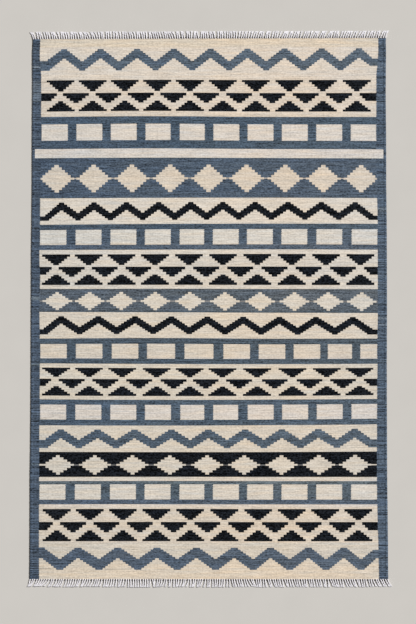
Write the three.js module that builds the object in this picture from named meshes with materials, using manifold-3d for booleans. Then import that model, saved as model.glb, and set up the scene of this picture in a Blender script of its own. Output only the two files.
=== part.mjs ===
// Flat-woven kilim rug with a corded selvedge on each side and a twined cord and cut fringe on each end.
// It lies flat, in millimetres: +X across the rug, +Y towards its upper end, +Z up.
// The frame's origin is on the surface that the rug lies on, under the middle of its whole outline.
import * as THREE from "three";
import { mergeVertices } from "three/addons/utils/BufferGeometryUtils.js";
import Module from "manifold-3d";

const wasm = await Module();
wasm.setup();

// Woven cloth
const CLOTH_LENGTH = 1820;
const CLOTH_THICKNESS = 3;
// The upper end was beaten down unevenly: its right corner stands this much higher than its left one.
const UPPER_END_RISE = 4.4;

// Distance of each side edge from the weaver's centre line, at distances along the rug from its lower end.
// The rug was begun wider at this end and drew in as the weaving went on.
const SIDE_EDGES = [
  { along: 0, left: 604.7, right: 603.4 },
  { along: 110, left: 603.9, right: 602.8 },
  { along: 232, left: 603.4, right: 601.5 },
  { along: 354, left: 603.2, right: 600.0 },
  { along: 434, left: 601.9, right: 599.7 },
  { along: 596, left: 600.5, right: 599.0 },
  { along: 718, left: 600.0, right: 598.8 },
  { along: 920, left: 599.4, right: 599.5 },
  { along: 1122, left: 598.8, right: 598.9 },
  { along: 1204, left: 597.5, right: 598.5 },
  { along: 1324, left: 596.3, right: 597.0 },
  { along: 1486, left: 596.1, right: 596.5 },
  { along: 1648, left: 595.1, right: 595.1 },
  { along: 1768, left: 595.5, right: 596.2 },
  { along: CLOTH_LENGTH, left: 593.5, right: 595.5 },
];

// Section of a corded selvedge, round its outside from the floor to the cloth's face.
const SELVEDGE_SECTION = [
  { inward: 1.4, height: 0 },
  { inward: 0, height: 1.5 },
  { inward: 0.5, height: 3.3 },
  { inward: 3.2, height: 4.2 },
  { inward: 6.8, height: 4.0 },
  { inward: 9.6, height: CLOTH_THICKNESS },
];

// Section of the twined cord at each end, from the cloth's end outwards.
const END_CORD_SECTION = [
  { out: 0.3, height: 2.2 },
  { out: 1.2, height: 3.6 },
  { out: 3.0, height: 3.6 },
  { out: 3.9, height: 2.2 },
];
// Warp ends that stand out of the cord as fringe. They start inside it, this far from the cloth's end.
const STRAND_ROOT_OUT = 2.1;
const STRANDS_PER_END = 150;
const STRAND = {
  rootWidth: 3.4,
  bellyWidth: 4.2,
  tipWidth: 4.9,
  crownShare: 0.5,
  height: 2.6,
  tipHeight: 2.2,
};
// Share of a strand's length at which its belly lies, and share of its sideways lean reached there.
const BELLY = { along: 0.5, lean: 0.4 };
// A leaning strand ends nearer to the cloth, by this share of its lean.
const LEAN_SHORTENS = 0.25;
// Combed strands lean together in tufts: the lean's size, the tufts' wavelength across the rug and their start.
const TUFTS = [
  { lean: 1.5, wavelength: 118, start: 0.4 },
  { lean: 1.1, wavelength: 67, start: 2.3 },
  { lean: 0.8, wavelength: 43, start: 4.1 },
];
// Cut tips are uneven in the same way.
const TIP_TRIM = [
  { cut: 0.5, wavelength: 231, start: 1.1 },
  { cut: 0.4, wavelength: 29, start: 0.2 },
];
// The strands splay outwards at both corners: the outermost one's lean, and how far in it fades to a third.
const ENDS = [
  {
    name: "fringe_top",
    outward: 1,
    reach: 26.4,
    shift: 0,
    left: { splay: 8, fade: 38 },
    right: { splay: 6, fade: 90 },
  },
  {
    name: "fringe_bottom",
    outward: -1,
    reach: 27.8,
    shift: 380,
    left: { splay: 8.5, fade: 130 },
    right: { splay: 11.5, fade: 70 },
  },
];

// Wool dyed natural cream, slate blue and black is one cloth, and its ground is the cream.
const CREAM_WOOL = { color: 0xd9cfbf, roughness: 0.95, metalness: 0 };
const WHITE_COTTON = { color: 0xe6e3e4, roughness: 0.9, metalness: 0 };

// A closed body through sections that stand square to Y, from the lowest Y to the highest.
// Each section has the same number of points, anticlockwise as seen from the rug's lower end.
function loft(sections) {
  const count = sections[0].length;
  const positions = sections.flat().flatMap((point) => point.toArray());
  const triangles = [];
  for (let section = 0; section < sections.length - 1; section += 1) {
    for (let point = 0; point < count; point += 1) {
      const here = section * count + point;
      const next = section * count + ((point + 1) % count);
      triangles.push(here, here + count, next);
      triangles.push(next, here + count, next + count);
    }
  }
  const last = (sections.length - 1) * count;
  const outline = sections[0].map((point) => new THREE.Vector2(point.x, point.z));
  for (const [a, b, c] of THREE.ShapeUtils.triangulateShape(outline, [])) {
    triangles.push(a, b, c);
    triangles.push(last + a, last + c, last + b);
  }
  const geometry = new THREE.BufferGeometry();
  geometry.setAttribute("position", new THREE.Float32BufferAttribute(positions, 3));
  geometry.setIndex(triangles);
  return geometry;
}

function toSolid(geometry) {
  const merged = mergeVertices(geometry);
  const vertProperties = new Float32Array(merged.getAttribute("position").array);
  const triVerts = new Uint32Array(merged.getIndex().array);
  return new wasm.Manifold(new wasm.Mesh({ numProp: 3, vertProperties, triVerts }));
}

function toGeometry(solid) {
  const mesh = solid.getMesh();
  const geometry = new THREE.BufferGeometry();
  geometry.setAttribute("position", new THREE.Float32BufferAttribute(mesh.vertProperties, 3));
  geometry.setIndex(new THREE.Uint32BufferAttribute(mesh.triVerts, 1));
  geometry.computeVertexNormals();
  return geometry;
}

function named(name, geometry, finish) {
  const mesh = new THREE.Mesh(geometry, new THREE.MeshStandardMaterial(finish));
  mesh.name = name;
  return mesh;
}

// Sum of sine waves across the rug, each row of the table holding its size under sizeKey.
function waves(table, sizeKey, across) {
  return table.reduce(
    (sum, wave) => sum + wave[sizeKey] * Math.sin((2 * Math.PI * across) / wave.wavelength + wave.start),
    0,
  );
}

// Where the cloth ends along the rug, at a place across it: the lower end is straight.
function endEdge(outward, across) {
  if (outward < 0) return 0;
  const { left, right } = SIDE_EDGES.at(-1);
  return CLOTH_LENGTH + (UPPER_END_RISE * across) / (left + right);
}

// One section across the cloth, anticlockwise seen from its lower end: along the floor, then back over the top.
function clothSection({ along, left, right }) {
  const rightSide = SELVEDGE_SECTION.map(({ inward, height }) => [right - inward, height]);
  const leftSide = SELVEDGE_SECTION.map(({ inward, height }) => [inward - left, height]).reverse();
  const isUpperEnd = along === CLOTH_LENGTH;
  return [...rightSide, ...leftSide].map(
    ([x, z]) => new THREE.Vector3(x, isUpperEnd ? endEdge(1, x) : along, z),
  );
}

function cloth() {
  return named("kilim_cloth", loft(SIDE_EDGES.map(clothSection)), CREAM_WOOL);
}

// A four-sided section, flat on the floor and narrower on top, across a cord or strand that runs along Y.
function yarnSection(x, y, width, height) {
  const crown = width * STRAND.crownShare;
  return [
    new THREE.Vector3(x + width / 2, y, 0),
    new THREE.Vector3(x + crown / 2, y, height),
    new THREE.Vector3(x - crown / 2, y, height),
    new THREE.Vector3(x - width / 2, y, 0),
  ];
}

// Sections that run away from the cloth, put in the order of rising Y.
function loftOutwards(end, sections) {
  return loft(end.outward > 0 ? sections : sections.toReversed());
}

function cornersOf(end) {
  return end.outward > 0 ? SIDE_EDGES.at(-1) : SIDE_EDGES[0];
}

// The twined cord that locks the last pick of weft, a hair outside the cloth's end and as wide as the cloth.
function endCord(end) {
  const { left, right } = cornersOf(end);
  const sections = END_CORD_SECTION.map(({ out, height }) => {
    const leftY = endEdge(end.outward, -left) + end.outward * out;
    const rightY = endEdge(end.outward, right) + end.outward * out;
    return [
      new THREE.Vector3(right, rightY, 0),
      new THREE.Vector3(right, rightY, height),
      new THREE.Vector3(-left, leftY, height),
      new THREE.Vector3(-left, leftY, 0),
    ];
  });
  return loftOutwards(end, sections);
}

// One warp end, from inside the cord to its cut tip, level on the floor all the way.
function strand(end, index) {
  const { left, right } = cornersOf(end);
  const first = STRAND.rootWidth / 2 - left;
  const last = right - STRAND.rootWidth / 2;
  const root = first + (index * (last - first)) / (STRANDS_PER_END - 1);
  const leftSplay = end.left.splay * Math.exp((first - root) / end.left.fade);
  const rightSplay = end.right.splay * Math.exp((root - last) / end.right.fade);
  const lean = waves(TUFTS, "lean", root + end.shift) + rightSplay - leftSplay;
  const tipOut = end.reach - waves(TIP_TRIM, "cut", root + end.shift) - Math.abs(lean) * LEAN_SHORTENS;
  const bellyOut = STRAND_ROOT_OUT + (tipOut - STRAND_ROOT_OUT) * BELLY.along;
  const edge = endEdge(end.outward, root);
  return loftOutwards(end, [
    yarnSection(root, edge + end.outward * STRAND_ROOT_OUT, STRAND.rootWidth, STRAND.height),
    yarnSection(root + lean * BELLY.lean, edge + end.outward * bellyOut, STRAND.bellyWidth, STRAND.height),
    yarnSection(root + lean, edge + end.outward * tipOut, STRAND.tipWidth, STRAND.tipHeight),
  ]);
}

function fringe(end) {
  let comb = toSolid(endCord(end));
  for (let index = 0; index < STRANDS_PER_END; index += 1) {
    comb = comb.add(toSolid(strand(end, index)));
  }
  return named(end.name, toGeometry(comb), WHITE_COTTON);
}

const rug = new THREE.Group();
rug.add(cloth(), ...ENDS.map(fringe));

// The weaver's centre line and lower end are moved so that the frame's origin is under the middle of the outline.
const middle = new THREE.Box3().setFromObject(rug).getCenter(new THREE.Vector3());
for (const mesh of rug.children) {
  mesh.position.set(-middle.x, -middle.y, 0);
}

export default rug;
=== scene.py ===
"""Flat-woven wool kilim with a twined cotton fringe, lying on a pale studio floor.

All patterns are set out as a weaver would: bands from the lower end up, each with rows of stepped motifs or a
stepped zigzag. Sizes are in millimetres from the weaver's centre line and from the cloth's lower end, and
become metres of the shared frame only when a mesh is made.
"""

import logging
import math
from dataclasses import dataclass, field
from enum import Enum
from typing import Optional, Sequence, Union

import bpy
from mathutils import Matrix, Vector

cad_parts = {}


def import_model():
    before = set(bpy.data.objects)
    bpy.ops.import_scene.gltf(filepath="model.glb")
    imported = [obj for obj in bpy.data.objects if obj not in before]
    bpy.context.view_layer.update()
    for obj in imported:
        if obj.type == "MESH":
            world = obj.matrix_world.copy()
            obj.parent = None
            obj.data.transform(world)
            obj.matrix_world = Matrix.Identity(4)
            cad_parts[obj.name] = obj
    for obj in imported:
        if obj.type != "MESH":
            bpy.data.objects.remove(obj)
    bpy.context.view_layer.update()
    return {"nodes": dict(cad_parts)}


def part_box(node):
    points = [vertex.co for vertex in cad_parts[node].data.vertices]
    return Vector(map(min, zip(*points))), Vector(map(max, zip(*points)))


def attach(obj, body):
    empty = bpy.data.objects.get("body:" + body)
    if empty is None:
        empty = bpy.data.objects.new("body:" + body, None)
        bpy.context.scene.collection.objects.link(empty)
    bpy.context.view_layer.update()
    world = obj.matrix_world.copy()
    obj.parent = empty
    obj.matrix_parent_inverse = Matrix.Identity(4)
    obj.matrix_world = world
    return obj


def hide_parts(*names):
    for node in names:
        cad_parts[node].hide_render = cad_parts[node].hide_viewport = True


LOG = logging.getLogger("kilim")
MM = 0.001
CLOTH_LENGTH = 1820.0
# Width of the strip along the rug's middle that a colour's drift is spread over.
DRIFT_WIDTH = 1200.0

Pair = tuple[float, float]
Span = Pair
Triple = tuple[float, float, float]
Point = Triple
Table = tuple[tuple[float, ...], ...]
Object = bpy.types.Object
Material = bpy.types.Material
Tree = bpy.types.NodeTree
Node = bpy.types.Node
Socket = bpy.types.NodeSocket
Setting = Union[Node, Socket, float, Sequence[float]]
Inputs = dict[Union[str, int], Setting]


# Common helpers


def unevenness(*keys: float) -> float:
    """Return a fixed pseudo-random number from -1 to 1 for these keys."""
    mixed = sum(key * step for key, step in zip(keys, (12.9898, 78.233, 37.719, 4.581)))
    return 2.0 * ((math.sin(mixed) * 43758.5453) % 1.0) - 1.0


def between(rows: Sequence[Sequence[float]], at: float) -> list[float]:
    """Interpolate the columns of a table in a straight line.

    Args:
        rows: Table rows, with the place first and in rising order.
        at: Place to read the table at.

    Returns:
        The values of all columns after the first.
    """
    for low, high in zip(rows, rows[1:]):
        if at <= high[0]:
            share = max(0.0, (at - low[0]) / (high[0] - low[0]))
            return [a + (b - a) * share for a, b in zip(low[1:], high[1:])]
    return list(rows[-1][1:])


def linear(hex_colour: str) -> tuple[float, ...]:
    """Turn an sRGB hex colour, such as "#d9cfbf", into linear RGBA."""
    channels = [int(hex_colour[i : i + 2], 16) / 255.0 for i in (1, 3, 5)]
    return (*(c / 12.92 if c <= 0.04045 else ((c + 0.055) / 1.055) ** 2.4 for c in channels), 1.0)


def add_node(tree: Tree, kind: str, inputs: Optional[Inputs] = None, **settings: object) -> Node:
    """Add a node to a material.

    Args:
        tree: The material's node tree.
        kind: Blender's name for the kind of node, without "ShaderNode" before it.
        inputs: Input name or number, with its value, or the output or node (its first output) to link to it.
        **settings: Properties of the node.

    Returns:
        The new node.
    """
    node = tree.nodes.new("ShaderNode" + kind)
    for name, value in settings.items():
        setattr(node, name, value)
    for name, value in (inputs or {}).items():
        source = value.outputs[0] if isinstance(value, Node) else value
        if isinstance(source, Socket):
            tree.links.new(source, node.inputs[name])
        else:
            node.inputs[name].default_value = source
    return node


def mesh_object(name: str, vertices: Sequence[Point], faces: list[list[int]]) -> Object:
    """Make an object at the origin and put it in the scene.

    Args:
        name: Name of the object and its mesh.
        vertices: Points in metres, in the shared frame.
        faces: Vertex numbers of each face.

    Returns:
        The new object.
    """
    mesh = bpy.data.meshes.new(name)
    mesh.from_pydata(vertices, [], faces)
    mesh.validate()
    mesh.update()
    piece = bpy.data.objects.new(name, mesh)
    bpy.context.scene.collection.objects.link(piece)
    return piece


# Where the cloth lies


@dataclass(frozen=True)
class Loom:
    """The weaver's own measure of the cloth, and its place in the shared frame."""

    length: float = CLOTH_LENGTH
    thickness: float = 3.0
    half_width: float = 603.0
    # Distance of each side edge from the centre line: along, left, right.
    side_edges: Table = (
        (0, 604.7, 603.4), (110, 603.9, 602.8), (232, 603.4, 601.5), (354, 603.2, 600.0),
        (434, 601.9, 599.7), (596, 600.5, 599.0), (718, 600.0, 598.8), (920, 599.4, 599.5),
        (1122, 598.8, 598.9), (1204, 597.5, 598.5), (1324, 596.3, 597.0), (1486, 596.1, 596.5),
        (1648, 595.1, 595.1), (1768, 595.5, 596.2), (1820, 593.5, 595.5),
    )
    # Distance of each border's inner edge from the centre line: along, left, right.
    border_edges: Table = (
        (0, 572.5, 572.1), (121, 573.0, 569.8), (246, 572.8, 566.3), (337, 572.3, 565.2),
        (512, 571.7, 565.4), (610, 570.4, 565.6), (718, 570.0, 567.0), (768, 569.1, 565.6),
        (893, 571.4, 568.4), (960, 570.5, 568.2), (1015, 568.5, 568.0), (1050, 570.9, 567.9),
        (1102, 571.6, 567.8), (1203, 569.6, 567.9), (1277, 568.7, 565.9), (1506, 564.6, 562.2),
        (1567, 565.6, 563.1), (1698, 565.3, 563.0), (1742, 569.8, 568.0), (1777, 569.8, 569.7),
        (1820, 568.3, 569.6),
    )
    # A woven line isn't quite straight: along, rise at the right edge, bow, sway.
    fell_lines: Table = (
        (0, 0.0, 0.0, 0.0), (252, -0.3, 0.1, -0.3), (344, -0.2, 0.2, -0.1), (427, 0.5, -0.8, -0.1),
        (519, 1.6, -1.35, 0.0), (604, 0.9, -1.4, 0.0), (725, -0.9, -1.0, -0.1), (810, -0.9, 0.4, -0.9),
        (898, -2.1, 0.1, -0.2), (977, -0.4, 0.4, -0.2), (1110, 0.9, 0.7, 0.3), (1196, 1.75, 1.2, -0.1),
        (1284, 0.7, 1.1, 0.0), (1418, -0.8, 1.1, -0.3), (1450, -1.1, 1.2, -0.8), (1558, -1.1, 1.0, -1.0),
        (1820, 2.2, 0.0, 0.0),
    )

    def fell(self, across: float, along: float) -> float:
        """Find how far along a woven line really lies.

        Args:
            across: Place across the cloth.
            along: The line's level.

        Returns:
            Its distance from the cloth's lower end at that place.
        """
        rise, bow, sway = between(self.fell_lines, along)
        share = across / self.half_width
        wander = rise * share + bow * (1.0 - 2.0 * share * share) + sway * math.sin(1.5 * math.pi * share)
        return along + wander

    def placed(self, points: Sequence[Point]) -> list[Point]:
        """Move points from the weaver's measure into the shared frame.

        Args:
            points: Points in millimetres from the centre line, the cloth's lower end and the floor.

        Returns:
            The same points in metres of the frame.
        """
        low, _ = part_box("kilim_cloth")
        widest = max(left for _, left, _ in self.side_edges)
        corner = Vector((low.x / MM + widest, low.y / MM, 0.0))
        return [((x + corner.x) * MM, (y + corner.y) * MM, z * MM) for x, y, z in points]


# Pattern


class Yarn(Enum):
    """Yarns that the weft changes between, in the order of the cloth's material slots."""

    ECRU = 0
    BLEACHED = 1
    SLATE = 2
    BLACK = 3
    LEFT_BORDER = 4
    RIGHT_BORDER = 5
    SMOKE = 6


Run = tuple[float, float, Yarn]


class Shape(Enum):
    """How the courses of a stepped motif change in width from the lower one up."""

    UPRIGHT = "triangle, point up"
    HANGING = "triangle, point down"
    DIAMOND = "diamond"


@dataclass(frozen=True)
class Spacing:
    """Centres of the repeats in one row, spread as unevenly as they were woven."""

    count: int
    first: float
    last: float
    bow: float = 0.0
    sway: float = 0.0
    # Repeats begun out of place: number from the left, and how far to the right.
    astray: dict[int, float] = field(default_factory=dict)

    def centres(self) -> list[float]:
        """Set out the repeats.

        Returns:
            Their places across the cloth, from left to right.
        """
        centres = []
        for number in range(self.count):
            t = number / (self.count - 1)
            even = self.first * (1 - t) + self.last * t
            uneven = self.bow * 4 * t * (1 - t) + self.sway * math.sin(math.tau * t)
            centres.append(even + uneven + self.astray.get(number, 0.0))
        return centres


@dataclass(frozen=True)
class MotifRow:
    """A row of stepped motifs. Heights are above the lower edge of its band."""

    shape: Shape
    yarn: Yarn
    foot: float
    height: float
    courses: int
    wide: float
    narrow: float
    spacing: Spacing
    # Share of its own height that the middle course of a diamond has left, and how much its points add to it.
    pinched: float = 1.0
    points: float = 0.0
    # How far the weft's beating moved the steps up, between a foot and a top that stayed.
    settled: float = 0.0
    # Whether the borders cut the first and last motif, which then have no narrowest course and are steeper:
    # their widest course is this much wider than a whole motif's, and each narrower one by this much more.
    cut: bool = False
    cut_wider: Pair = (0.8, 2.3)
    # How far a side of a step may be out of place.
    ragged: float = 0.6

    def levels(self) -> list[float]:
        """Find where the courses meet.

        Returns:
            Heights at which a course begins or ends.
        """
        shares = [1.0] * self.courses
        shares[self.courses // 2] = self.pinched
        levels = [self.foot]
        for share in shares:
            levels.append(levels[-1] + self.height * share / sum(shares))
        return [levels[0], *(level + self.settled for level in levels[1:-1]), levels[-1]]

    def width(self, course: int) -> float:
        """Find the width of a course.

        Args:
            course: Its number from the lower one.

        Returns:
            The width.
        """
        if self.shape is Shape.DIAMOND:
            middle = self.courses // 2
            if course == middle:
                return self.wide + self.points
            from_point = (middle - abs(course - middle)) / middle
        else:
            from_foot = course / (self.courses - 1)
            from_point = 1.0 - from_foot if self.shape is Shape.UPRIGHT else from_foot
        return self.narrow + (self.wide - self.narrow) * from_point

    def spans(self, height: float, edges: Span) -> list[Span]:
        """Find where the motifs lie across the cloth.

        Args:
            height: Height above the band's lower edge.
            edges: Inner edges of the left and the right border.

        Returns:
            Start and end of each motif at this height.
        """
        levels = self.levels()
        for course, (low, high) in enumerate(zip(levels, levels[1:])):
            if low <= height < high:
                half = self.width(course) / 2
                spans = []
                for centre in self.spacing.centres():
                    start = centre - half + self.ragged * unevenness(centre, course)
                    spans.append((start, centre + half + self.ragged * unevenness(centre, course, 1)))
                if not self.cut:
                    return spans
                least, step = self.cut_wider
                wider = least + step * (self.courses - 1 - course)
                cut = [(edges[0], spans[0][1] + wider), (spans[-1][0] - wider, edges[1])] if course else []
                return spans[1:-1] + cut
        return []


@dataclass(frozen=True)
class BlockRow:
    """A row of plain rectangles as tall as their band."""

    yarn: Yarn
    width: float
    spacing: Spacing
    # Blocks wider or narrower than the rest: number from the left, and the difference.
    odd: dict[int, float] = field(default_factory=dict)
    # The wefts of a block and of its ground turn round the same warp by turns, which makes the join toothed.
    tooth: float = 0.8
    pick: float = 2.6

    def levels(self) -> list[float]:
        """Return no heights: the blocks begin and end with their band."""
        return []

    def spans(self, height: float, edges: Span) -> list[Span]:
        """Find where the blocks lie across the cloth.

        Args:
            height: Height above the band's lower edge.
            edges: Inner edges of the left and the right border.

        Returns:
            Start and end of each block at this height.
        """
        tooth = self.tooth * (1 if int(height / self.pick) % 2 else -1)
        spans = []
        for number, centre in enumerate(self.spacing.centres()):
            half = (self.width + self.odd.get(number, 0.0)) / 2
            spans.append((centre - half + tooth, centre + half + tooth))
        return spans


@dataclass(frozen=True)
class Thread:
    """A pick or two of another yarn, right across the field or along a stretch of it."""

    yarn: Yarn
    foot: float
    height: float
    stretch: Span = (-math.inf, math.inf)

    def levels(self) -> list[float]:
        """Return the heights at which the thread begins and ends."""
        return [self.foot, self.foot + self.height]

    def spans(self, height: float, edges: Span) -> list[Span]:
        """Return the stretch that the thread fills at its height, and nothing elsewhere."""
        return [self.stretch] if self.foot <= height < self.foot + self.height else []


@dataclass(frozen=True)
class Turn:
    """A place where a zigzag turns, with the levels of its upper and lower outline there."""

    across: float
    upper: float
    lower: float
    # How much farther from the centre line the upper outline turns than the lower one.
    overrun: float = 0.0

    def upper_across(self) -> float:
        """Return where the upper outline turns."""
        return self.across + math.copysign(self.overrun, self.across * self.overrun)


@dataclass(frozen=True)
class Zigzag:
    """A ribbon that climbs and falls in steps. Heights are above the lower edge of its band."""

    yarn: Yarn
    foot: float
    top: float
    # Rise of the upper outline, and of the lower one.
    rise: Pair
    courses: int
    # Half of the flat on the outside of a turn, and of the one on its inside.
    outer_flat: float
    inner_flat: float
    peaks: Spacing
    valleys: Spacing
    # The first and last turn, after which the ribbon runs level to the border.
    left_end: Turn
    right_end: Turn
    # Each step's side leans out this far from top to foot, as the weft turns on one warp more at a time.
    slope: float = 1.8

    def turns(self) -> list[Turn]:
        """Set out the turns.

        Returns:
            All turns from left to right.
        """
        peaks = [Turn(x, self.top, self.foot + self.rise[1]) for x in self.peaks.centres()]
        valleys = [Turn(x, self.top - self.rise[0], self.foot) for x in self.valleys.centres()]
        inner = sorted(peaks + valleys, key=lambda turn: turn.across)
        return [self.left_end, *inner, self.right_end]

    def outline_levels(self, high: float, low: float) -> list[float]:
        """Return the levels of one outline between a peak and a valley, from the upper one down."""
        count = max(1, round((high - low) / (self.rise[0] / self.courses)))
        return [high - (high - low) * i / count for i in range(count + 1)]

    def levels(self) -> list[float]:
        """Find where the outlines step.

        Returns:
            Heights at which either outline steps.
        """
        levels = self.outline_levels(self.top, self.top - self.rise[0])
        levels += self.outline_levels(self.foot + self.rise[1], self.foot)
        for end in (self.left_end, self.right_end):
            levels += [end.upper, end.lower]
        return levels

    def reach(self, height: float, levels: list[float], half: float, flat: float, far_flat: float) -> float:
        """Find how far from a peak the area under one outline reaches.

        Args:
            height: Height above the band's lower edge.
            levels: Levels of the outline from the peak down to the valley.
            half: Distance from the peak to the valley.
            flat: Half of the outline's flat at the peak.
            far_flat: Half of its flat at the valley.

        Returns:
            The distance, which is 0 above the peak and half below the valley.
        """
        if height >= levels[0]:
            return 0.0
        if height < levels[-1]:
            return half
        steps = len(levels) - 1
        step = next(i for i in range(steps) if height >= levels[i + 1])
        if steps == 1:
            return flat
        through = (levels[step] - height) / (levels[step] - levels[step + 1])
        return flat + step * (half - flat - far_flat) / (steps - 1) + self.slope * (through - 0.5)

    def spans(self, height: float, edges: Span) -> list[Span]:
        """Find where the ribbon lies across the cloth.

        Args:
            height: Height above the band's lower edge.
            edges: Inner edges of the left and the right border.

        Returns:
            Start and end of each stretch of it at this height.
        """
        spans = []
        turns = self.turns()
        for here, there in zip(turns, turns[1:]):
            high, low = (here, there) if here.upper > there.upper else (there, here)
            if not low.lower <= height < high.upper:
                continue
            side = 1 if low.across > high.across else -1
            upper = self.outline_levels(high.upper, low.upper)
            lower = self.outline_levels(high.lower, low.lower)
            turned = high.upper_across()
            half = abs(turned - low.upper_across())
            end = turned + side * self.reach(height, upper, half, self.outer_flat, self.inner_flat)
            inner = self.reach(height, lower, abs(high.across - low.across), self.inner_flat, self.outer_flat)
            start = high.across + side * inner if inner > 0 else turned
            if (end - start) * side > 0:
                spans.append((min(start, end), max(start, end)))
        for turn, edge in zip((self.left_end, self.right_end), edges):
            turned = turn.upper_across()
            if turn.lower <= height < turn.upper and abs(edge) > abs(turned):
                spans.append((min(edge, turned), max(edge, turned)))
        return spans


Figure = Union[MotifRow, BlockRow, Thread, Zigzag]


@dataclass(frozen=True)
class Band:
    """One band of the pattern, from its lower edge up."""

    height: float
    ground: Yarn
    figures: tuple[Figure, ...] = ()
    # Distance of its ends from the centre line where it runs on through the borders.
    through_borders: Optional[Span] = None
    # Narrowest stretch of a figure, and of any yarn, that is woven.
    narrowest_figure: float = 0.5
    narrowest_run: float = 0.3

    def runs(self, height: float, edges: Span) -> list[Run]:
        """Find which yarns lie across the field.

        Args:
            height: Height above the band's lower edge.
            edges: Inner edges of the left and the right border.

        Returns:
            Start, end and yarn of each stretch from left to right.
        """
        woven = [(*edges, self.ground)]
        for figure in self.figures:
            for start, end in figure.spans(height, edges):
                start, end = max(start, edges[0]), min(end, edges[1])
                if end - start > self.narrowest_figure:
                    woven.append((start, end, figure.yarn))
        cuts = sorted({cut for start, end, _ in woven for cut in (start, end)})
        runs: list[Run] = []
        for start, end in zip(cuts, cuts[1:]):
            middle = (start + end) / 2
            yarn = [yarn for low, high, yarn in woven if low < middle < high][-1]
            if runs and (runs[-1][2] is yarn or end - start < self.narrowest_run):
                runs[-1] = (runs[-1][0], end, runs[-1][2])
            else:
                runs.append((start, end, yarn))
        return runs


def bar(height: float) -> Band:
    """Return a plain slate bar."""
    return Band(height, Yarn.SLATE)


def blocks(height: float, width: float, spacing: Spacing, odd: dict[int, float]) -> Band:
    """Return a slate band with bleached rectangles."""
    return Band(height, Yarn.SLATE, (BlockRow(Yarn.BLEACHED, width, spacing, odd),))


def triangles(
    height: float, outer: Spacing, inner: Spacing,
    lower: Triple, middle: Triple, upper: Triple, *threads: Thread,
) -> Band:
    """Set out a band with three staggered rows of black triangles.

    Args:
        height: Height of the band.
        outer: Spacing of the lower and the upper row, which stand on the same warps.
        inner: Spacing of the middle row, which has one motif more and is cut by both borders.
        lower: Foot, height and settling of the lower row, points up.
        middle: The same of the middle row, points down.
        upper: The same of the upper row, points down.
        *threads: Black weft carried on beside a motif, where it shows as a fine line.

    Returns:
        The band.
    """
    # Courses, widest course and narrowest one, which are the same in all such bands.
    up, between_up, down = (5, 94.8, 18.0), (4, 87.4, 19.0), (5, 93.8, 19.3)
    rows = (
        MotifRow(Shape.UPRIGHT, Yarn.BLACK, *lower[:2], *up, outer, settled=lower[2]),
        MotifRow(Shape.HANGING, Yarn.BLACK, *middle[:2], *between_up, inner, settled=middle[2], cut=True),
        MotifRow(Shape.HANGING, Yarn.BLACK, *upper[:2], *down, outer, settled=upper[2]),
    )
    return Band(height, Yarn.ECRU, (*threads, *rows))


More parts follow.
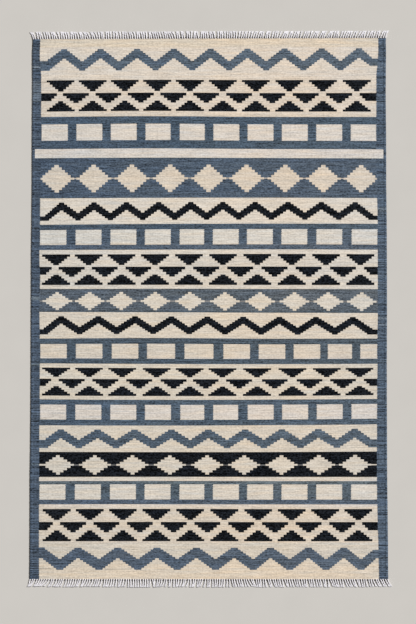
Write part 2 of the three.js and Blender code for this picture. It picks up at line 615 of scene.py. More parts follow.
BANDS = (
    # Slate zigzag and black triangles at the lower end
    Band(114.2, Yarn.ECRU, (
        Thread(Yarn.BLEACHED, 38.4, 2.6, (-573, -544)),
        Thread(Yarn.SMOKE, 34.0, 1.5, (-573, -532)),
        Thread(Yarn.SMOKE, 32.4, 0.8, (-351, -262)),
        Zigzag(
            Yarn.SLATE, foot=30.9, top=105.5, rise=(37.2, 38.8), courses=6, outer_flat=12.5, inner_flat=6.5,
            peaks=Spacing(8, -441.6, 452.2, 12.5, 0.4, {3: 3.4, 4: 3.4, 6: 4.0, 7: 1.4}),
            valleys=Spacing(9, -505.0, 511.7, 18.4, -1.5, {0: 2.0, 2: -1.7, 6: -1.4}),
            left_end=Turn(-565.5, 106.7, 70.3), right_end=Turn(567.0, 98.5, 70.1, -4.5),
        ),
    )),
    triangles(
        137.4, Spacing(10, -513.2, 502.6, -0.9, -2.3), Spacing(11, -570.5, 560.3, -0.5, -1.5),
        (13.0, 37.4, 0.0), (43.0, 34.9, -1.8), (84.7, 37.0, -1.4),
        Thread(Yarn.SMOKE, 115.6, 1.5, (-575, -557)),
    ),
    bar(16.2),
    blocks(50.9, 87.1, Spacing(10, -527.6, 521.9, 2.1, 2.6), {4: -3.6}),
    bar(11.4),
    # Diamonds on black, slate zigzag and rectangles
    Band(13.8, Yarn.ECRU),
    Band(84.4, Yarn.BLACK, (
        Thread(Yarn.SMOKE, 39.2, 2.4),
        Thread(Yarn.ECRU, 38.4, 5.4, (-572, -553)),
        Thread(Yarn.ECRU, 39.0, 3.6, (538, 565)),
        MotifRow(
            Shape.DIAMOND, Yarn.ECRU, foot=7.9, height=65.5, courses=9, wide=107.5, narrow=12.5, pinched=0.7,
            spacing=Spacing(9, -512.0, 496.5, 1.0, 1.1, {0: 3.0, 8: -4.6}),
        ),
    )),
    Band(90.1, Yarn.ECRU, (
        Zigzag(
            Yarn.SLATE, foot=13.5, top=76.5, rise=(35.0, 32.7), courses=5, outer_flat=11.5, inner_flat=5.7,
            peaks=Spacing(9, -499.6, 490.3, 2.0, -0.7), valleys=Spacing(8, -439.1, 430.5, 2.8),
            left_end=Turn(-553.3, 40.6, 13.2, 2.9), right_end=Turn(547.0, 40.9, 14.1),
        ),
    )),
    bar(19.5),
    blocks(50.0, 87.2, Spacing(10, -525.3, 523.5, 1.9, 2.0, {5: -2.7}), {4: -7.0, 5: -3.8}),
    bar(17.2),
    # Black triangles and the widest rectangles
    triangles(
        119.8,
        Spacing(10, -515.2, 508.8, -5.6, -1.1, {3: 3.0, 4: 1.0, 5: -3.7, 6: -1.7, 7: 2.6, 8: 2.4, 9: -2.0}),
        Spacing(11, -576.0, 567.5, -4.7, 1.0, {4: 3.0, 5: -2.4, 6: -3.7, 7: 1.7, 8: 3.7, 10: -2.0}),
        (12.5, 32.0, 0.9), (37.8, 31.0, -0.6), (75.3, 30.7, 0.0),
    ),
    bar(17.6),
    blocks(
        48.8, 89.1, Spacing(10, -524.1, 551.7, 13.8, -7.6, {3: -2.0, 4: 0.9, 5: 3.1, 8: -1.8, 9: 0.9}),
        {3: 5.0, 4: 7.9, 8: -8.0, 9: -3.0},
    ),
    bar(19.0),
    # Black zigzag, low diamonds on slate, triangles and rectangles
    Band(87.5, Yarn.ECRU, (
        Zigzag(
            Yarn.BLACK, foot=13.7, top=73.6, rise=(35.1, 34.8), courses=6, outer_flat=9.9, inner_flat=5.7,
            peaks=Spacing(9, -498.2, 484.1, 1.0, 2.6), valleys=Spacing(8, -436.2, 423.5, -0.5, 2.6),
            left_end=Turn(-552.2, 30.4, 13.6, 10.7), right_end=Turn(541.3, 30.9, 13.8, 14.5),
        ),
    )),
    Band(79.2, Yarn.SLATE, (
        Thread(Yarn.SMOKE, 35.2, 4.8),
        MotifRow(
            Shape.DIAMOND, Yarn.ECRU, foot=6.9, height=61.4, courses=9, wide=95.2, narrow=12.0, points=4.4,
            spacing=Spacing(10, -511.5, 514.0, -6.8, -6.3, {1: 2.0, 2: -1.5}),
        ),
    )),
    triangles(
        132.3, Spacing(10, -515.2, 509.7, -7.9, -1.7), Spacing(11, -574.2, 566.2, -6.0, -1.2),
        (13.3, 35.4, 1.6), (41.1, 33.8, -1.3), (80.4, 36.7, -0.8),
        Thread(Yarn.BLACK, 15.7, 1.4, (-573, -556)),
    ),
    bar(17.0),
    blocks(50.9, 86.8, Spacing(10, -524.3, 523.6, -0.6, 3.2, {0: -0.9}), {0: 1.8, 4: -4.8}),
    bar(18.4),
    # Black zigzag, tall diamonds on slate, and the bleached bar that runs through the borders
    Band(87.7, Yarn.ECRU, (
        Zigzag(
            Yarn.BLACK, foot=13.2, top=73.6, rise=(34.8, 33.5), courses=5, outer_flat=9.2, inner_flat=6.2,
            peaks=Spacing(10, -497.0, 491.9, -5.3, 2.7), valleys=Spacing(9, -441.5, 436.8, -5.9, 2.7),
            left_end=Turn(-547.8, 27.9, 13.3, 10.4), right_end=Turn(545.1, 27.9, 13.7, 13.2),
        ),
    )),
    Band(134.6, Yarn.SLATE, (
        Thread(Yarn.ECRU, 65.1, 2.2),
        MotifRow(
            Shape.DIAMOND, Yarn.ECRU, foot=19.3, height=92.2, courses=11, wide=114.2, narrow=15.0, points=3.6,
            pinched=0.75, spacing=Spacing(9, -513.5, 512.0, -1.0, -1.5, {1: -1.5, 5: -1.2}),
        ),
    )),
    Band(30.6, Yarn.BLEACHED, through_borders=(-587.0, 589.0)),
    bar(28.1),
    blocks(55.1, 86.9, Spacing(10, -519.4, 520.8, 0.0, 0.9, {0: -0.9}), {0: 1.8, 3: -3.0, 4: -3.0}),
    bar(25.3),
    # Black triangles and slate zigzag at the upper end
    triangles(
        123.7, Spacing(10, -499.9, 497.4, -8.3), Spacing(11, -556.4, 551.3, -7.1),
        (17.8, 35.6, 0.0), (46.3, 33.7, -1.4), (85.4, 38.8, 0.0),
        Thread(Yarn.BLACK, 117.2, 1.4, (-568, -544)),
    ),
    Band(139.3, Yarn.ECRU, (
        Zigzag(
            Yarn.SLATE, foot=32.8, top=105.5, rise=(41.0, 40.0), courses=6, outer_flat=10.6, inner_flat=6.4,
            peaks=Spacing(9, -488.0, 504.8, -3.4), valleys=Spacing(8, -427.5, 442.6, -2.0),
            left_end=Turn(-546.8, 65.3, 32.2, 3.2), right_end=Turn(549.4, 70.9, 46.9, 4.5),
        ),
    )),
)


# Finishes


class Finish:
    """A matt finish, whose subclasses work out its colour and relief from the place on the object."""

    name: str
    roughness: float
    ior: float
    specular: float
    # Strength and depth of a relief that is finer than the mesh.
    relief: Optional[Pair]

    def surface(self, tree: Tree, place: Socket) -> tuple[Node, Node]:
        """Colour the surface and shape its relief.

        Args:
            tree: Material's node tree.
            place: Position in metres.

        Returns:
            Nodes with the colour and with the height.
        """
        raise NotImplementedError

    def material(self) -> Material:
        """Make the material of nodes.

        Returns:
            The material.
        """
        material = bpy.data.materials.new(self.name)
        material.use_nodes = True
        tree = material.node_tree
        tree.nodes.clear()
        colour, height = self.surface(tree, add_node(tree, "TexCoord").outputs["Object"])
        look = {"Base Color": colour, "Roughness": self.roughness, "IOR": self.ior}
        look["Specular IOR Level"] = self.specular
        if self.relief:
            strength, depth = self.relief
            relief = {"Strength": strength, "Distance": depth * MM, "Height": height}
            look["Normal"] = add_node(tree, "Bump", relief)
        add_node(tree, "OutputMaterial", {"Surface": add_node(tree, "BsdfPrincipled", look)})
        return material


@dataclass(frozen=True)
class Streak:
    """Unevenness of hand-spun, hand-dyed yarn: its size along and across the weft, and how far it shades."""

    length: float
    thickness: float
    contrast: float
    roughness: float = 0.6

    def spread(self, tree: Tree, place: Socket, shift: Triple = (0, 0, 0)) -> Node:
        """Spread the unevenness over the cloth.

        Args:
            tree: Material's node tree.
            place: Position in metres.
            shift: Start of the noise, which tells it from others.

        Returns:
            Noise from about 0.2 to 0.8 around 0.5.
        """
        scale = (1 / (self.length * MM), 1 / (self.thickness * MM), 1 / (self.thickness * MM))
        drawn = add_node(tree, "VectorMath", {0: place, 1: scale, 2: shift}, operation="MULTIPLY_ADD")
        noise = {"Vector": drawn, "Scale": 1.0, "Detail": 1.0, "Roughness": self.roughness}
        return add_node(tree, "TexNoise", noise)


@dataclass(frozen=True)
class WeftFacedWool(Finish):
    """Wool weft beaten down over the warp: a matt cloth, streaked along the picks, with faint warp ribs."""

    name: str
    # Dye lots from the cloth's lower end up: where each one starts, and its colour.
    lots: tuple[tuple[float, str], ...]
    streaks: tuple[Streak, ...]
    # Drift of the colour across the rug: place from the centre line, and factors for red, green and blue.
    drift: Table
    # How far the tint wanders between warm and cool, as several sheep's fleeces do, and its streaks' size.
    mottle: float = 0.09
    specular: float = 0.25
    mottle_size: Pair = (100.0, 8.0)
    # Green moves with red by this share, so that the tint turns neither pink nor green.
    green_share: float = 0.15
    # Deepest shade that the streaks may give.
    darkest: float = 0.15
    roughness: float = 0.93
    ior: float = 1.54
    relief: Optional[Pair] = (0.7, 0.45)
    # Warp pairs lie 8 mm apart under the weft, and their ribs take this share of the relief.
    warp_pitch: float = 8.0
    rib_height: float = 0.10

    def shade(self, tree: Tree, place: Socket) -> Node:
        """Sum the streaks.

        Args:
            tree: Material's node tree.
            place: Position in metres.

        Returns:
            A factor on the yarn's colour, 1 on average.
        """
        total: Setting = 1.0
        for number, streak in enumerate(self.streaks):
            # Each is read from another part of the noise, so that no two look alike.
            noise = streak.spread(tree, place, (31.7 * number, 17.3 * number, 5.1))
            ends = {0: noise, 1: 2 * streak.contrast, 2: -streak.contrast}
            share = add_node(tree, "Math", ends, operation="MULTIPLY_ADD")
            total = add_node(tree, "Math", {0: total, 1: share}, operation="ADD")
        return add_node(tree, "Math", {0: total, 1: self.darkest}, operation="MAXIMUM")

    def dyed(self, tree: Tree, axes: Node) -> Node:
        """Colour the wool by its dye lots along the cloth and its drift across it.

        Args:
            tree: Material's node tree.
            axes: Position in metres, split into its axes.

        Returns:
            Node with the colour.
        """
        lots = [(start / CLOTH_LENGTH, linear(colour)) for start, colour in self.lots]
        drift = [((across + DRIFT_WIDTH / 2) / DRIFT_WIDTH, (*rgb, 1.0)) for across, *rgb in self.drift]
        colour: Setting = (1.0, 1.0, 1.0)
        ramps = (("Y", CLOTH_LENGTH, lots, "CONSTANT"), ("X", DRIFT_WIDTH, drift, "LINEAR"))
        for axis, length, stops, change in ramps:
            half = length * MM / 2
            place = {"Value": axes.outputs[axis], "From Min": -half, "From Max": half}
            ramp = add_node(tree, "ValToRGB", {"Fac": add_node(tree, "MapRange", place)})
            ramp.color_ramp.interpolation = change
            elements = ramp.color_ramp.elements
            while len(elements) < len(stops):
                elements.new(0.5)
            # A ramp has two stops at least, so a single one fills both.
            for number, element in enumerate(elements):
                element.position, element.color = stops[min(number, len(stops) - 1)]
            colour = add_node(tree, "VectorMath", {0: colour, 1: ramp}, operation="MULTIPLY")
        return colour

    def surface(self, tree: Tree, place: Socket) -> tuple[Node, Node]:
        """Colour the wool by its lots, tint and streaks, and raise its picks and its ribs over the warp.

        Args:
            tree: Material's node tree.
            place: Position in metres.

        Returns:
            Nodes with the colour and with the height.
        """
        axes = add_node(tree, "SeparateXYZ", {0: place})
        shade = self.shade(tree, place)
        fleeces = Streak(*self.mottle_size, self.mottle, roughness=0.5)
        warmth = (self.mottle, self.green_share * self.mottle, -self.mottle)
        noise = fleeces.spread(tree, place)
        ends = {0: noise, 1: [2 * w for w in warmth], 2: [1 - w for w in warmth]}
        tint = add_node(tree, "VectorMath", ends, operation="MULTIPLY_ADD")
        tinted = add_node(tree, "VectorMath", {0: self.dyed(tree, axes), 1: tint}, operation="MULTIPLY")
        colour = add_node(tree, "VectorMath", {0: tinted, "Scale": shade}, operation="SCALE")
        warps = {0: axes.outputs["X"], 1: math.tau / (self.warp_pitch * MM)}
        turns = add_node(tree, "Math", warps, operation="MULTIPLY")
        rib = add_node(tree, "Math", {0: turns}, operation="SINE")
        height = add_node(tree, "Math", {0: rib, 1: self.rib_height, 2: shade}, operation="MULTIPLY_ADD")
        return colour, height


@dataclass(frozen=True)
class TwistedCotton(Finish):
    """Plied bleached cotton: white and matt, with painted shade darkening it low down, and fine fibres along
    the twist.
    """

    name: str = "bleached cotton, plied"
    colour: str = "#f1eef2"
    # Size of the fibres' noise and of the tufts', and how far each shades.
    fibre: Pair = (1.6, 0.24)
    tuft: Pair = (9, 0.30)
    # Shade where both noises are 0.
    base: float = 0.73
    # Heights between which painted shade darkens the cotton towards the floor, from grey up to white, and the
    # share of white that is left lowest.
    painted_shade: Triple = (0.3, 2.2, 0.3)
    roughness: float = 0.88
    ior: float = 1.56
    specular: float = 0.3
    relief: Optional[Pair] = (0.5, 0.3)

    def surface(self, tree: Tree, place: Socket) -> tuple[Node, Node]:
        """Darken the cotton low down with painted shade, from grey up to white, and raise its fibres.

        Args:
            tree: Material's node tree.
            place: Position in metres.

        Returns:
            Nodes with the colour and with the height.
        """
        (fibre, fibre_contrast), (tuft, tuft_contrast) = self.fibre, self.tuft
        size = {"Vector": place, "Scale": 1 / (fibre * MM), "Detail": 2.0, "Roughness": 0.6}
        fibres = add_node(tree, "TexNoise", size)
        tufts = add_node(tree, "TexNoise", {"Vector": place, "Scale": 1 / (tuft * MM), "Detail": 1.0})
        grey = add_node(tree, "Math", {0: fibres, 1: fibre_contrast, 2: self.base}, operation="MULTIPLY_ADD")
        shade = add_node(tree, "Math", {0: tufts, 1: tuft_contrast, 2: grey}, operation="MULTIPLY_ADD")
        # Painted shade: the cotton darkens towards the floor, where strands shade each other and the floor
        # between them.
        low, high, least = self.painted_shade
        height = add_node(tree, "SeparateXYZ", {0: place}).outputs["Z"]
        rise = {"Value": height, "From Min": low * MM, "From Max": high * MM, "To Min": least}
        white = add_node(tree, "Math", {0: shade, 1: add_node(tree, "MapRange", rise)}, operation="MULTIPLY")
        colour = add_node(tree, "VectorMath", {0: linear(self.colour)[:3], "Scale": white}, operation="SCALE")
        return colour, fibres


@dataclass(frozen=True)
class HonedStone(Finish):
    """Honed pale limestone of a studio floor: matt and nearly even."""

    name: str = "pale limestone, honed"
    colour: str = "#cdc9c3"
    # Scale of its clouds, how far they shade, and the shade where their noise is 0.
    cloud: Triple = (9.0, 0.06, 0.97)
    roughness: float = 0.8
    ior: float = 1.5
    specular: float = 0.2
    relief: Optional[Pair] = None

    def surface(self, tree: Tree, place: Socket) -> tuple[Node, Node]:
        """Cloud the stone faintly.

        Args:
            tree: Material's node tree.
            place: Position in metres.

        Returns:
            Nodes with the colour and with the height.
        """
        scale, contrast, base = self.cloud
        cloud = add_node(tree, "TexNoise", {"Vector": place, "Scale": scale, "Detail": 3.0})
        shade = add_node(tree, "Math", {0: cloud, 1: contrast, 2: base}, operation="MULTIPLY_ADD")
        colour = add_node(tree, "VectorMath", {0: linear(self.colour)[:3], "Scale": shade}, operation="SCALE")
        return colour, cloud


# Short grain on long faint streaks. The real picks are 1.2 mm apart, so the grain is drawn as three of them.
CREAM_STREAKS = (Streak(60, 3.7, 0.33), Streak(8, 3.9, 0.38), Streak(400, 24, 0.06))
SLATE_STREAKS = (Streak(150, 3.5, 0.8), Streak(35, 3.8, 0.75), Streak(7, 4.0, 1.1), Streak(300, 20, 0.2))
BORDER_STREAKS = (Streak(160, 3.4, 1.6), Streak(40, 9.0, 0.3), Streak(7, 3.8, 1.2))
BLACK_STREAKS = (Streak(60, 5, 1.3), Streak(7, 4.5, 2.8))

# The colour is darker towards the rug's left side than in its middle, and bluer towards its right side.
CREAM_DRIFT = (
    (-560, 0.947, 0.966, 0.988), (-420, 0.968, 0.983, 1.0), (-250, 1.0, 1.0, 1.0), (-30, 1.0, 1.0, 1.0),
    (60, 1.03, 1.01, 0.99), (300, 1.03, 1.01, 0.993), (440, 1.01, 1.01, 1.02), (530, 0.983, 1.0, 1.028),
)
NO_DRIFT = ((0, 1.0, 1.0, 1.0),)
SLATE_DRIFT = (
    (-430, 0.87, 0.905, 0.955), (-330, 0.94, 0.955, 0.98), (-100, 0.95, 0.965, 0.98), (0, 1.0, 1.0, 1.0),
    (130, 1.0, 1.0, 1.0), (250, 1.06, 1.03, 1.01), (570, 1.05, 1.04, 1.03),
)

# Dye lots: where each one starts, and its colour. A border's lighter lots are a few picks of faded yarn.
ECRU_LOTS = (
    (0, "#d8c9b5"), (44, "#d4c7b5"), (68, "#d0c6b7"), (114, "#d4c7b6"), (238, "#d8ccbe"), (330, "#d4cabb"),
    (345, "#d3c9ba"), (427, "#d4c9b9"), (604, "#d5cab9"), (810, "#d7cbba"), (898, "#d6ccbd"),
    (977, "#d3cabd"), (1085, "#d7cec1"), (1196, "#d9cfc1"), (1285, "#d6c9b8"), (1558, "#d8cbbb"),
    (1681, "#dacebf"), (1785, "#d9cbb7"),
)
BLEACHED_LOTS = (
    (0, "#d6cdc0"), (537, "#d5ccc2"), (742, "#d4c8b8"), (1126, "#d4cec4"), (1418, "#d4ccc3"),
    (1477, "#d7cec3"),
)
SLATE_LOTS = (
    (0, "#535e6b"), (267, "#545f68"), (318, "#5f696f"), (330, "#535f6b"), (519, "#4d5a67"),
    (538, "#505d6a"), (725, "#4e5a65"), (742, "#4e5963"), (898, "#596169"), (977, "#55606d"),
    (1126, "#505c69"), (1179, "#4b5865"), (1285, "#505c6a"), (1396, "#4e5a68"), (1449, "#4b5967"),
    (1477, "#4c5a68"), (1681, "#57636f"),
)
LEFT_BORDER_LOTS = (
    (0, "#485463"), (380, "#596570"), (391, "#485463"), (711, "#616d77"), (724, "#485463"),
    (936, "#5c6771"), (952, "#485463"), (1602, "#57616c"), (1671, "#485463"), (1717, "#6a747e"),
    (1724, "#485463"),
)
RIGHT_BORDER_LOTS = (
    (0, "#515e6d"), (848, "#6a7683"), (857, "#515e6d"), (873, "#6a7683"), (881, "#515e6d"),
    (1236, "#6e7a86"), (1246, "#515e6d"), (1718, "#687583"), (1725, "#515e6d"),
)

# What each yarn is, its lots, streaks and drift, how far its tint wanders, and how little it shines.
WOOLS = {
    yarn: WeftFacedWool(f"{fleece} wool, weft-faced weave", *look)
    for yarn, fleece, *look in (
        (Yarn.ECRU, "natural ecru", ECRU_LOTS, CREAM_STREAKS, CREAM_DRIFT),
        (Yarn.BLEACHED, "bleached", BLEACHED_LOTS, CREAM_STREAKS, CREAM_DRIFT),
        (Yarn.SLATE, "slate blue", SLATE_LOTS, SLATE_STREAKS, SLATE_DRIFT, 0.10, 0.12),
        (Yarn.BLACK, "black", ((0, "#171a1f"),), BLACK_STREAKS, NO_DRIFT, 0.15, 0.05),
        (Yarn.LEFT_BORDER, "deep slate blue", LEFT_BORDER_LOTS, BORDER_STREAKS, NO_DRIFT, 0.10, 0.12),
        (Yarn.RIGHT_BORDER, "faded slate blue", RIGHT_BORDER_LOTS, BORDER_STREAKS, NO_DRIFT, 0.10, 0.12),
        (Yarn.SMOKE, "smoke grey", ((0, "#7c7a78"),), (Streak(30, 7, 0.8),), NO_DRIFT),
    )
}

# How the fringe was last combed: place across the rug, and how far the tips lie to the right of the roots.
TOP_COMBING = (
    (-604, -8.5), (-556, -9.5), (-476, -4.5), (-415, -8.5), (-314, -2.6), (-273, -2.2), (-192, -5.0),
    (-112, -8.0), (-31, 2.5), (10, -3.0), (91, 5.5), (252, 8.0), (333, 12.0), (414, 10.0), (455, 6.5),
    (535, 10.0), (604, 7.0),
)
BOTTOM_COMBING = (
    (-604, -9.5), (-590, -15.0), (-556, -17.0), (-516, -12.5), (-435, -8.5), (-395, -9.8), (-314, -5.0),
    (-192, 2.0), (-152, -6.5), (-112, -2.5), (-31, -7.0), (50, 0.0), (131, 11.0), (172, 5.0), (293, 9.0),
    (333, 2.8), (414, 9.5), (535, 7.2), (604, 13.0),
)


# Pieces


@dataclass
class KilimCloth:
    """The woven cloth, one sheet off the loom, with its corded selvedges."""

    loom: Loom
    bands: tuple[Band, ...] = BANDS
    # Tallest row of faces, and lowest one. The real picks are 1.2 mm apart, too fine to show as faces.
    pick: float = 2.7
    least_pick: float = 0.7
    # Columns of points across the rows: how far they spread, their pitch, and how close to a cut one may be.
    columns: Triple = (1180.0, 30.0, 4.0)
    # The border's weft and the field's turn round the same warp by turns, which makes the join toothed.
    tooth: float = 0.8
    # Section of a corded selvedge from the floor over its crown to the cloth's face: inward, height.
    selvedge: Table = ((1.4, 0), (0, 1.5), (0.5, 3.3), (3.2, 4.2), (6.8, 4.0), (9.6, 3.0))
    # Chance rise of the face from pick to pick and from patch to patch, and a patch's width.
    face_uneven: Triple = (0.08, 0.05, 40.0)
    # Chance reach of a selvedge's outer points, less than so far inwards, and rise of those above a height.
    wrap_uneven: Pair = (0.35, 3.0)
    crown_uneven: Pair = (0.12, 3.5)
    vertices: list[Point] = field(default_factory=list)
    faces: list[list[int]] = field(default_factory=list)
    yarns: list[Yarn] = field(default_factory=list)

    def band_at(self, along: float) -> tuple[float, Band]:
        """Find the band at a place along the cloth.

        Args:
            along: Distance from the cloth's lower end.

        Returns:
            The band's start, and the band.
        """
        start = 0.0
        for band in self.bands:
            if along < start + band.height:
                return start, band
            start += band.height
        return start - self.bands[-1].height, self.bands[-1]

    def levels(self) -> list[float]:
        """Set out the rows of faces.

        Returns:
            The levels between them, from the lower end up.
        """
        marks = [0.0]
        start = 0.0
        for band in self.bands:
            marks += [start + level for figure in band.figures for level in figure.levels()]
            start += band.height
            marks.append(start)
        marks = sorted(mark * self.loom.length / start for mark in marks)
        levels = [0.0]
        for mark in marks[1:]:
            gap = mark - levels[-1]
            if gap < self.least_pick:
                continue
            count = math.ceil(gap / self.pick)
            levels += [levels[-1] + gap * i / count for i in range(1, count)] + [mark]
        levels[-1] = self.loom.length
        return levels

    def runs(self, row: int, low: float, high: float) -> list[Run]:
        """Find which yarns lie in one row of faces.

        Args:
            row: Number of the row.
            low: Its lower level.
            high: Its upper level.

        Returns:
            Start, end and yarn of each stretch from left to right, borders and all.
        """
        middle = (low + high) / 2
        start, band = self.band_at(middle)
        left_edge, right_edge = between(self.loom.side_edges, middle)
        left, right = between(self.loom.border_edges, middle)
        tooth = self.tooth * (1 if row % 2 else -1)
        left, right = edges = band.through_borders or (tooth - left, right + tooth)
        borders = (-left_edge, left, Yarn.LEFT_BORDER), (right, right_edge, Yarn.RIGHT_BORDER)
        return [borders[0], *band.runs(middle - start, edges), borders[1]]

    def cuts(self, runs: Sequence[Run], is_face: bool) -> list[float]:
        """Find where a row of faces is cut.

        Args:
            runs: Stretches of yarn in the row.
            is_face: Whether this is the upper face, which has columns of points as well.

        Returns:
            Places from left to right, without the selvedges.
        """
        cuts = [end for _, end, _ in runs[:-1]]
        spread, pitch, least = self.columns
        count = int(spread // pitch) if is_face else 0
        columns = [-spread / 2 + spread * i / count for i in range(1, count)]
        cuts += [column for column in columns if all(abs(column - cut) > least for cut in cuts)]
        return sorted(round(cut, 2) for cut in cuts)

    def height(self, level: int, across: float) -> float:
        """Find the height of the cloth's face, which the beaten picks leave slightly uneven.

        Args:
            level: Number of the row of points, from the lower end.
            across: Distance from the weaver's centre line.

        Returns:
            The height above the floor.
        """
        pick, patch, width = self.face_uneven
        rise = pick * unevenness(level, 3) + patch * unevenness(level, round(across / width))
        return self.loom.thickness + rise

    def side_points(self, level: int, along: float) -> list[list[Point]]:
        """Set out both selvedges at a level.

        Args:
            level: Number of the level.
            along: Its distance from the cloth's lower end.

        Returns:
            Points of the left selvedge from the floor inwards, and of the right one.
        """
        sides = []
        (wrap, depth), (crown, foot) = self.wrap_uneven, self.crown_uneven
        for number, (sign, edge) in enumerate(zip((-1, 1), between(self.loom.side_edges, along))):
            reach = wrap * unevenness(level, 7, number)
            points = []
            for inward, height in self.selvedge:
                across = sign * (edge - inward + (reach if inward < depth else 0.0))
                lift = crown * unevenness(level, inward, number) if height > foot else 0.0
                points.append((across, self.loom.fell(across, along), height + lift))
            sides.append(points)
        return sides

    def add_vertex(self, point: Point) -> int:
        """Add a vertex and return its number."""
        self.vertices.append(point)
        return len(self.vertices) - 1

    def weave(
        self, levels: list[float], rows: list[list[Run]], sides: list[list[list[int]]], is_face: bool
    ) -> tuple[list[int], list[int]]:
        """Add one face of the cloth, row by row.

        Args:
            levels: Levels between the rows.
            rows: Stretches of yarn in each row.
            sides: Vertex numbers of both selvedges at each level, from the floor inwards.
            is_face: Whether this is the upper face and not the underside.

        Returns:
            Vertex numbers along the lower end and along the upper end, from left to right.
        """
        cuts = [self.cuts(runs, is_face) for runs in rows]
        lines: list[list[tuple[float, int]]] = []
        for level, along in enumerate(levels):
            left, right = (side[-1 if is_face else 0] for side in sides[level])
            line = [(-math.inf, left)]
            for across in sorted({*cuts[max(level - 1, 0)], *cuts[min(level, len(rows) - 1)]}):
                height = self.height(level, across) if is_face else 0.0
                line.append((across, self.add_vertex((across, self.loom.fell(across, along), height))))
            lines.append([*line, (math.inf, right)])
        for row, (runs, row_cuts) in enumerate(zip(rows, cuts)):
            places = [-math.inf, *row_cuts, math.inf]
            for start, end in zip(places, places[1:]):
                middle = (max(start, runs[0][0]) + min(end, runs[-1][1])) / 2
                self.yarns.append(next(yarn for low, high, yarn in runs if low <= middle < high))
                pair = lines[row : row + 2]
                lower, upper = ([number for place, number in line if start <= place <= end] for line in pair)
                loop = lower + upper[::-1]
                self.faces.append(loop if is_face else loop[::-1])
        return [number for _, number in lines[0][1:-1]], [number for _, number in lines[-1][1:-1]]

    def build(self) -> Object:
        """Build the cloth as one closed mesh.

        Returns:
            The piece, without its finish.
        """
        levels = self.levels()
        rows = [self.runs(row, low, high) for row, (low, high) in enumerate(zip(levels, levels[1:]))]
        sides = []
        for level, along in enumerate(levels):
            both = self.side_points(level, along)
            sides.append([[self.add_vertex(point) for point in side] for side in both])
        for (left, right), (next_left, next_right) in zip(sides, sides[1:]):
            for i in range(len(self.selvedge) - 1):
                self.faces.append([left[i], left[i + 1], next_left[i + 1], next_left[i]])
                self.faces.append([right[i + 1], right[i], next_right[i], next_right[i + 1]])
                self.yarns += [Yarn.LEFT_BORDER, Yarn.RIGHT_BORDER]
        face = self.weave(levels, rows, sides, True)
        underside = self.weave(levels, rows, sides, False)
        for end, turn in ((0, -1), (-1, 1)):
            left, right = sides[end]
            loop = left + face[end] + right[::-1] + underside[end][::-1]
            self.faces.append(loop[::turn])
            self.yarns.append(Yarn.ECRU)
        return mesh_object("kilim_weave", self.loom.placed(self.vertices), self.faces)

    def dress(self, piece: Object) -> None:
        """Give each stretch of weft its yarn's finish.

        Args:
            piece: The cloth.
        """
        for yarn in Yarn:
            piece.data.materials.append(WOOLS[yarn].material())
        for polygon, yarn in zip(piece.data.polygons, self.yarns):
            polygon.material_index = yarn.value


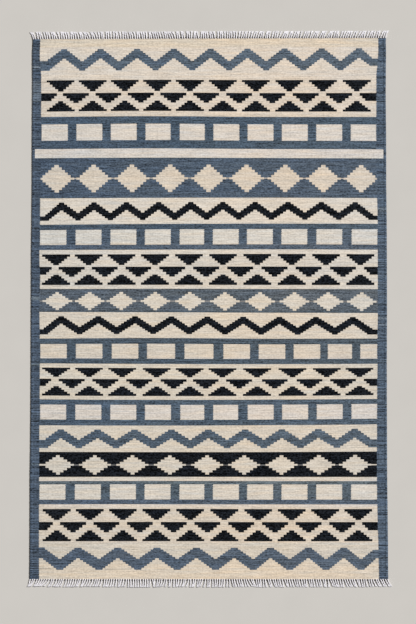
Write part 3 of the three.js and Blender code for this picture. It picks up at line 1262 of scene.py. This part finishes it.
@dataclass
class Fringe:
    """The twined cord and cut warp ends at one end of the cloth."""

    loom: Loom
    # CAD node that it replaces.
    node: str
    # 1 at the upper end and -1 at the lower one.
    outward: int
    # How far the longest strands reach out of the cloth, and where the waves of this end's tufts start.
    reach: float
    shift: float
    # How far the strands are combed to the right at places across the rug, tip against root.
    combing: Table
    strands: int = 150
    # The cord's middle lies this far out and up. Its two plies wind round it this far out and up, with this
    # radius.
    cord_out: float = 5.0
    cord_height: float = 1.1
    cord_pitch: float = 8.0
    cord_ply: Triple = (0.6, 0.4, 0.65)
    # Sections in one turn of a ply of the cord, and sides of its section.
    cord_steps: int = 8
    cord_sides: int = 5
    # A strand's plies lie round its middle at this distance, with this radius, and fan out towards the tip.
    plies: int = 4
    ply_offset: float = 1.0
    ply_radius: float = 0.95
    tip_spread: float = 2.7
    tip_radius: float = 1.15
    # Where a strand comes out of the cloth, and how high its middle lies there and along its belly. The
    # outermost ones come out this far inside the side edges.
    root_out: float = 0.3
    root_height: float = 2.9
    belly_height: float = 2.3
    root_inset: float = 1.7
    # Length of a turn of the plies, and how far each strand's turns are ahead of its neighbour's.
    twist: float = 9.0
    twist_step: float = 0.37
    sections: int = 13
    # How late a strand frays, how fast it sinks from its root, how late it leans, and its cut ply's rounding.
    fray: float = 2.4
    sinking: float = 8.0
    late_lean: float = 0.4
    rounding: float = 0.8
    # A leaning strand ends nearer to the cloth, by this share of its lean.
    lean_shortens: float = 0.15
    # Waves of the lean in tufts, and of the cut tips: size, wavelength, start.
    tufts: Table = ((1.5, 118, 0.4), (1.1, 67, 2.3), (0.8, 43, 4.1), (1.3, 26.3, 0.7))
    trim: Table = ((0.4, 231, 1.1), (0.2, 29, 0.2))
    # How high a strand arches, and how far chance moves its root, lean, cut, bow, arch and share of girth,
    # each with the key that it is drawn with. Its plies' cuts have their own.
    arch: float = 0.4
    loose: Table = ((1.2, 17), (3.7, 5), (0.35, 9), (0.8, 11), (0.4, 13), (0.12, 19))
    loose_plies: Pair = (0.3, 15)
    vertices: list[Point] = field(default_factory=list)
    faces: list[list[int]] = field(default_factory=list)
    cord_faces: int = 0

    def along(self) -> float:
        """Return the level of this end of the cloth."""
        return self.loom.length if self.outward > 0 else 0.0

    def point(self, across: float, root: float, out: float, height: float) -> Vector:
        """Return a point this far out of the cloth's end, as that lies at the root."""
        return Vector((across, self.loom.fell(root, self.along()) + self.outward * out, height))

    def tube(self, path: Sequence[Vector], radii: Sequence[float], sides: int = 6) -> None:
        """Add a closed tube of yarn.

        Args:
            path: Points along its middle.
            radii: Radius at each point.
            sides: Number of sides.
        """
        first = len(self.vertices)
        up = Vector((0, 0, 1))
        for i, (point, radius) in enumerate(zip(path, radii)):
            heading = (path[min(i + 1, len(path) - 1)] - path[max(i - 1, 0)]).normalized()
            side = heading.cross(up).normalized()
            rise = side.cross(heading)
            for j in range(sides):
                angle = math.tau * j / sides
                spoke = math.cos(angle) * side + math.sin(angle) * rise
                self.vertices.append(tuple(point + radius * spoke))
        last = first + (len(path) - 1) * sides
        for here in range(first, last, sides):
            for j in range(sides):
                k = (j + 1) % sides
                self.faces.append([here + j, here + k, here + sides + k, here + sides + j])
        self.faces.append([first + j for j in reversed(range(sides))])
        self.faces.append([last + j for j in range(sides)])

    def add_cord(self) -> None:
        """Add the twined cord, which lies across the strands' undersides and shows between them."""
        left, right = between(self.loom.side_edges, self.along())
        steps = round((left + right) / self.cord_pitch * self.cord_steps)
        wide, high, radius = self.cord_ply
        for ply in (0, 1):
            path = []
            for i in range(steps + 1):
                across = -left + (left + right) * i / steps
                angle = math.tau * across / self.cord_pitch + math.pi * ply
                out = self.cord_out + wide * math.cos(angle)
                path.append(self.point(across, across, out, self.cord_height + high * math.sin(angle)))
            self.tube(path, [radius] * len(path), self.cord_sides)
        self.cord_faces = len(self.faces)

    def waves(self, table: Table, root: float) -> float:
        """Sum waves of a size, wavelength and start at a strand's root."""
        place = math.tau * (root + self.shift)
        return sum(size * math.sin(place / wave + start) for size, wave, start in table)

    def add_strand(self, index: int) -> None:
        """Add one plied warp end, from the cloth's end to its frayed tip.

        Args:
            index: Number of the strand from the left.
        """
        chances = [size * unevenness(index, self.outward, key) for size, key in self.loose]
        aside, swing, cut, bow, raised, girth = chances
        left, right = between(self.loom.side_edges, self.along())
        first, last = self.root_inset - left, right - self.root_inset
        root = first + (last - first) * index / (self.strands - 1)
        if 0 < index < self.strands - 1:
            root += aside
        lean = between(self.combing, root)[0] + self.waves(self.tufts, root) + swing
        tip = self.reach - self.waves(self.trim, root) - self.lean_shortens * abs(lean) + cut
        arch, stout = self.arch + raised, 1.0 + girth
        ply_cut, ply_key = self.loose_plies
        for ply in range(self.plies):
            lane = 2 * ply / (self.plies - 1) - 1
            trimmed = tip + ply_cut * unevenness(index, self.outward, ply_key, ply)
            path, radii = [], []
            for i in range(self.sections):
                t = i / (self.sections - 1)
                out = self.root_out + (trimmed - self.root_out) * t
                fray = t**self.fray
                angle = math.tau * (out / self.twist + self.twist_step * index + ply / self.plies)
                radius = stout * (self.ply_radius + (self.tip_radius - self.ply_radius) * fray)
                offset = self.ply_offset * (1 - fray)
                spread = offset * math.cos(angle) + self.tip_spread * lane * fray
                leant = lean * t * (1 - self.late_lean + self.late_lean * t)
                across = root + leant + bow * math.sin(math.pi * t) + spread
                sunk = math.exp(-self.sinking * t)
                rest = self.belly_height + (self.root_height - self.belly_height) * sunk
                height = rest * (1 - fray) + arch * math.sin(math.pi * t) + offset * math.sin(angle)
                path.append(self.point(across, root, out, max(height, radius)))
                radii.append(radius * (self.rounding if i == self.sections - 1 else 1.0))
            self.tube(path, radii)

    def build(self) -> Object:
        """Build the fringe as one mesh.

        Returns:
            The piece, without its finish.
        """
        self.add_cord()
        for index in range(self.strands):
            self.add_strand(index)
        piece = mesh_object(f"{self.node}_warps", self.loom.placed(self.vertices), self.faces)
        for polygon in piece.data.polygons:
            polygon.use_smooth = True
        return piece

    def dress(self, piece: Object, cotton: Material, cord: Material) -> None:
        """Give the strands and the cord their finishes.

        Args:
            piece: The fringe.
            cotton: Finish of the strands.
            cord: Finish of the cord.
        """
        piece.data.materials.append(cotton)
        piece.data.materials.append(cord)
        for polygon in piece.data.polygons[: self.cord_faces]:
            polygon.material_index = 1


@dataclass
class Studio:
    """Pale floor, soft light and the camera straight above the rug."""

    # The photograph's frame on the floor, and its middle in the shared frame, in metres.
    view_height: float = 2.103
    middle: Pair = (-0.00604, -0.01066)
    lens: float = 85.0
    film: float = 36.0
    # Half of the floor's width, and its height a hair below the rug, in metres.
    floor_half: float = 20.0
    floor_height: float = -0.0004
    # Share of the light that comes evenly from all round. The rest is a window's, spread over some degrees.
    fill: float = 0.16
    sun_elevation: float = 40.0
    sun_azimuth: float = 35.0
    sun_spread: float = 14.0
    sun_distance: float = 4.0

    def lay_floor(self) -> Object:
        """Lay the floor.

        Returns:
            The floor.
        """
        half, height = self.floor_half, self.floor_height
        corners = [(x * half, y * half, height) for x, y in ((-1, -1), (1, -1), (1, 1), (-1, 1))]
        floor = mesh_object("studio_floor", corners, [[0, 1, 2, 3]])
        floor.data.materials.append(HonedStone().material())
        return floor

    def hang_lights(self) -> None:
        """Light the rug so that an even white surface on the floor renders as white."""
        scene = bpy.context.scene
        world = bpy.data.worlds.new("studio_fill")
        world.use_nodes = True
        background = world.node_tree.nodes["Background"]
        background.inputs["Color"].default_value = (1, 1, 1, 1)
        background.inputs["Strength"].default_value = self.fill
        scene.world = world
        elevation, azimuth = math.radians(self.sun_elevation), math.radians(self.sun_azimuth)
        level = math.cos(elevation)
        towards = Vector((level * math.cos(azimuth), level * math.sin(azimuth), math.sin(elevation)))
        light = bpy.data.lights.new("studio_window", "SUN")
        light.angle = math.radians(self.sun_spread)
        light.energy = (1 - self.fill) * math.pi / math.sin(elevation)
        lamp = bpy.data.objects.new("studio_window", light)
        lamp.rotation_euler = towards.to_track_quat("Z", "Y").to_euler()
        lamp.location = towards * self.sun_distance
        scene.collection.objects.link(lamp)

    def set_camera(self) -> None:
        """Put the camera where the photograph was taken."""
        scene = bpy.context.scene
        camera_data = bpy.data.cameras.new("camera")
        camera_data.lens = self.lens
        camera_data.sensor_width = self.film
        camera = bpy.data.objects.new("camera", camera_data)
        camera.location = (*self.middle, self.view_height * self.lens / self.film)
        scene.collection.objects.link(camera)
        scene.camera = camera
        scene.view_settings.view_transform = "Standard"


def main() -> None:
    """Build and dress the rug and its studio."""
    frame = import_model()
    LOG.info("CAD nodes: %s", ", ".join(frame["nodes"]))
    studio = Studio()
    studio.set_camera()
    studio.lay_floor()
    studio.hang_lights()

    loom = Loom()
    cotton = TwistedCotton().material()
    # The cord is coloured dark as painted shade, so the gaps between the strands' roots look dark.
    painted_shade = TwistedCotton("twined cotton, dark with painted shade", "#4a4541").material()
    for fringe in (
        Fringe(loom, "fringe_top", 1, 25.8, 0.0, TOP_COMBING),
        Fringe(loom, "fringe_bottom", -1, 28.1, 380.0, BOTTOM_COMBING),
    ):
        piece = fringe.build()
        fringe.dress(piece, cotton, painted_shade)
        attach(piece, "root")
        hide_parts(fringe.node)
        LOG.info("%s: %d strands, %d faces", piece.name, fringe.strands, len(piece.data.polygons))

    cloth = KilimCloth(loom)
    piece = cloth.build()
    cloth.dress(piece)
    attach(piece, "root")
    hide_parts("kilim_cloth")
    LOG.info("%s: %d faces, %d vertices", piece.name, len(piece.data.polygons), len(piece.data.vertices))


if __name__ == "__main__":
    logging.basicConfig(level=logging.INFO, format="%(message)s")
    main()
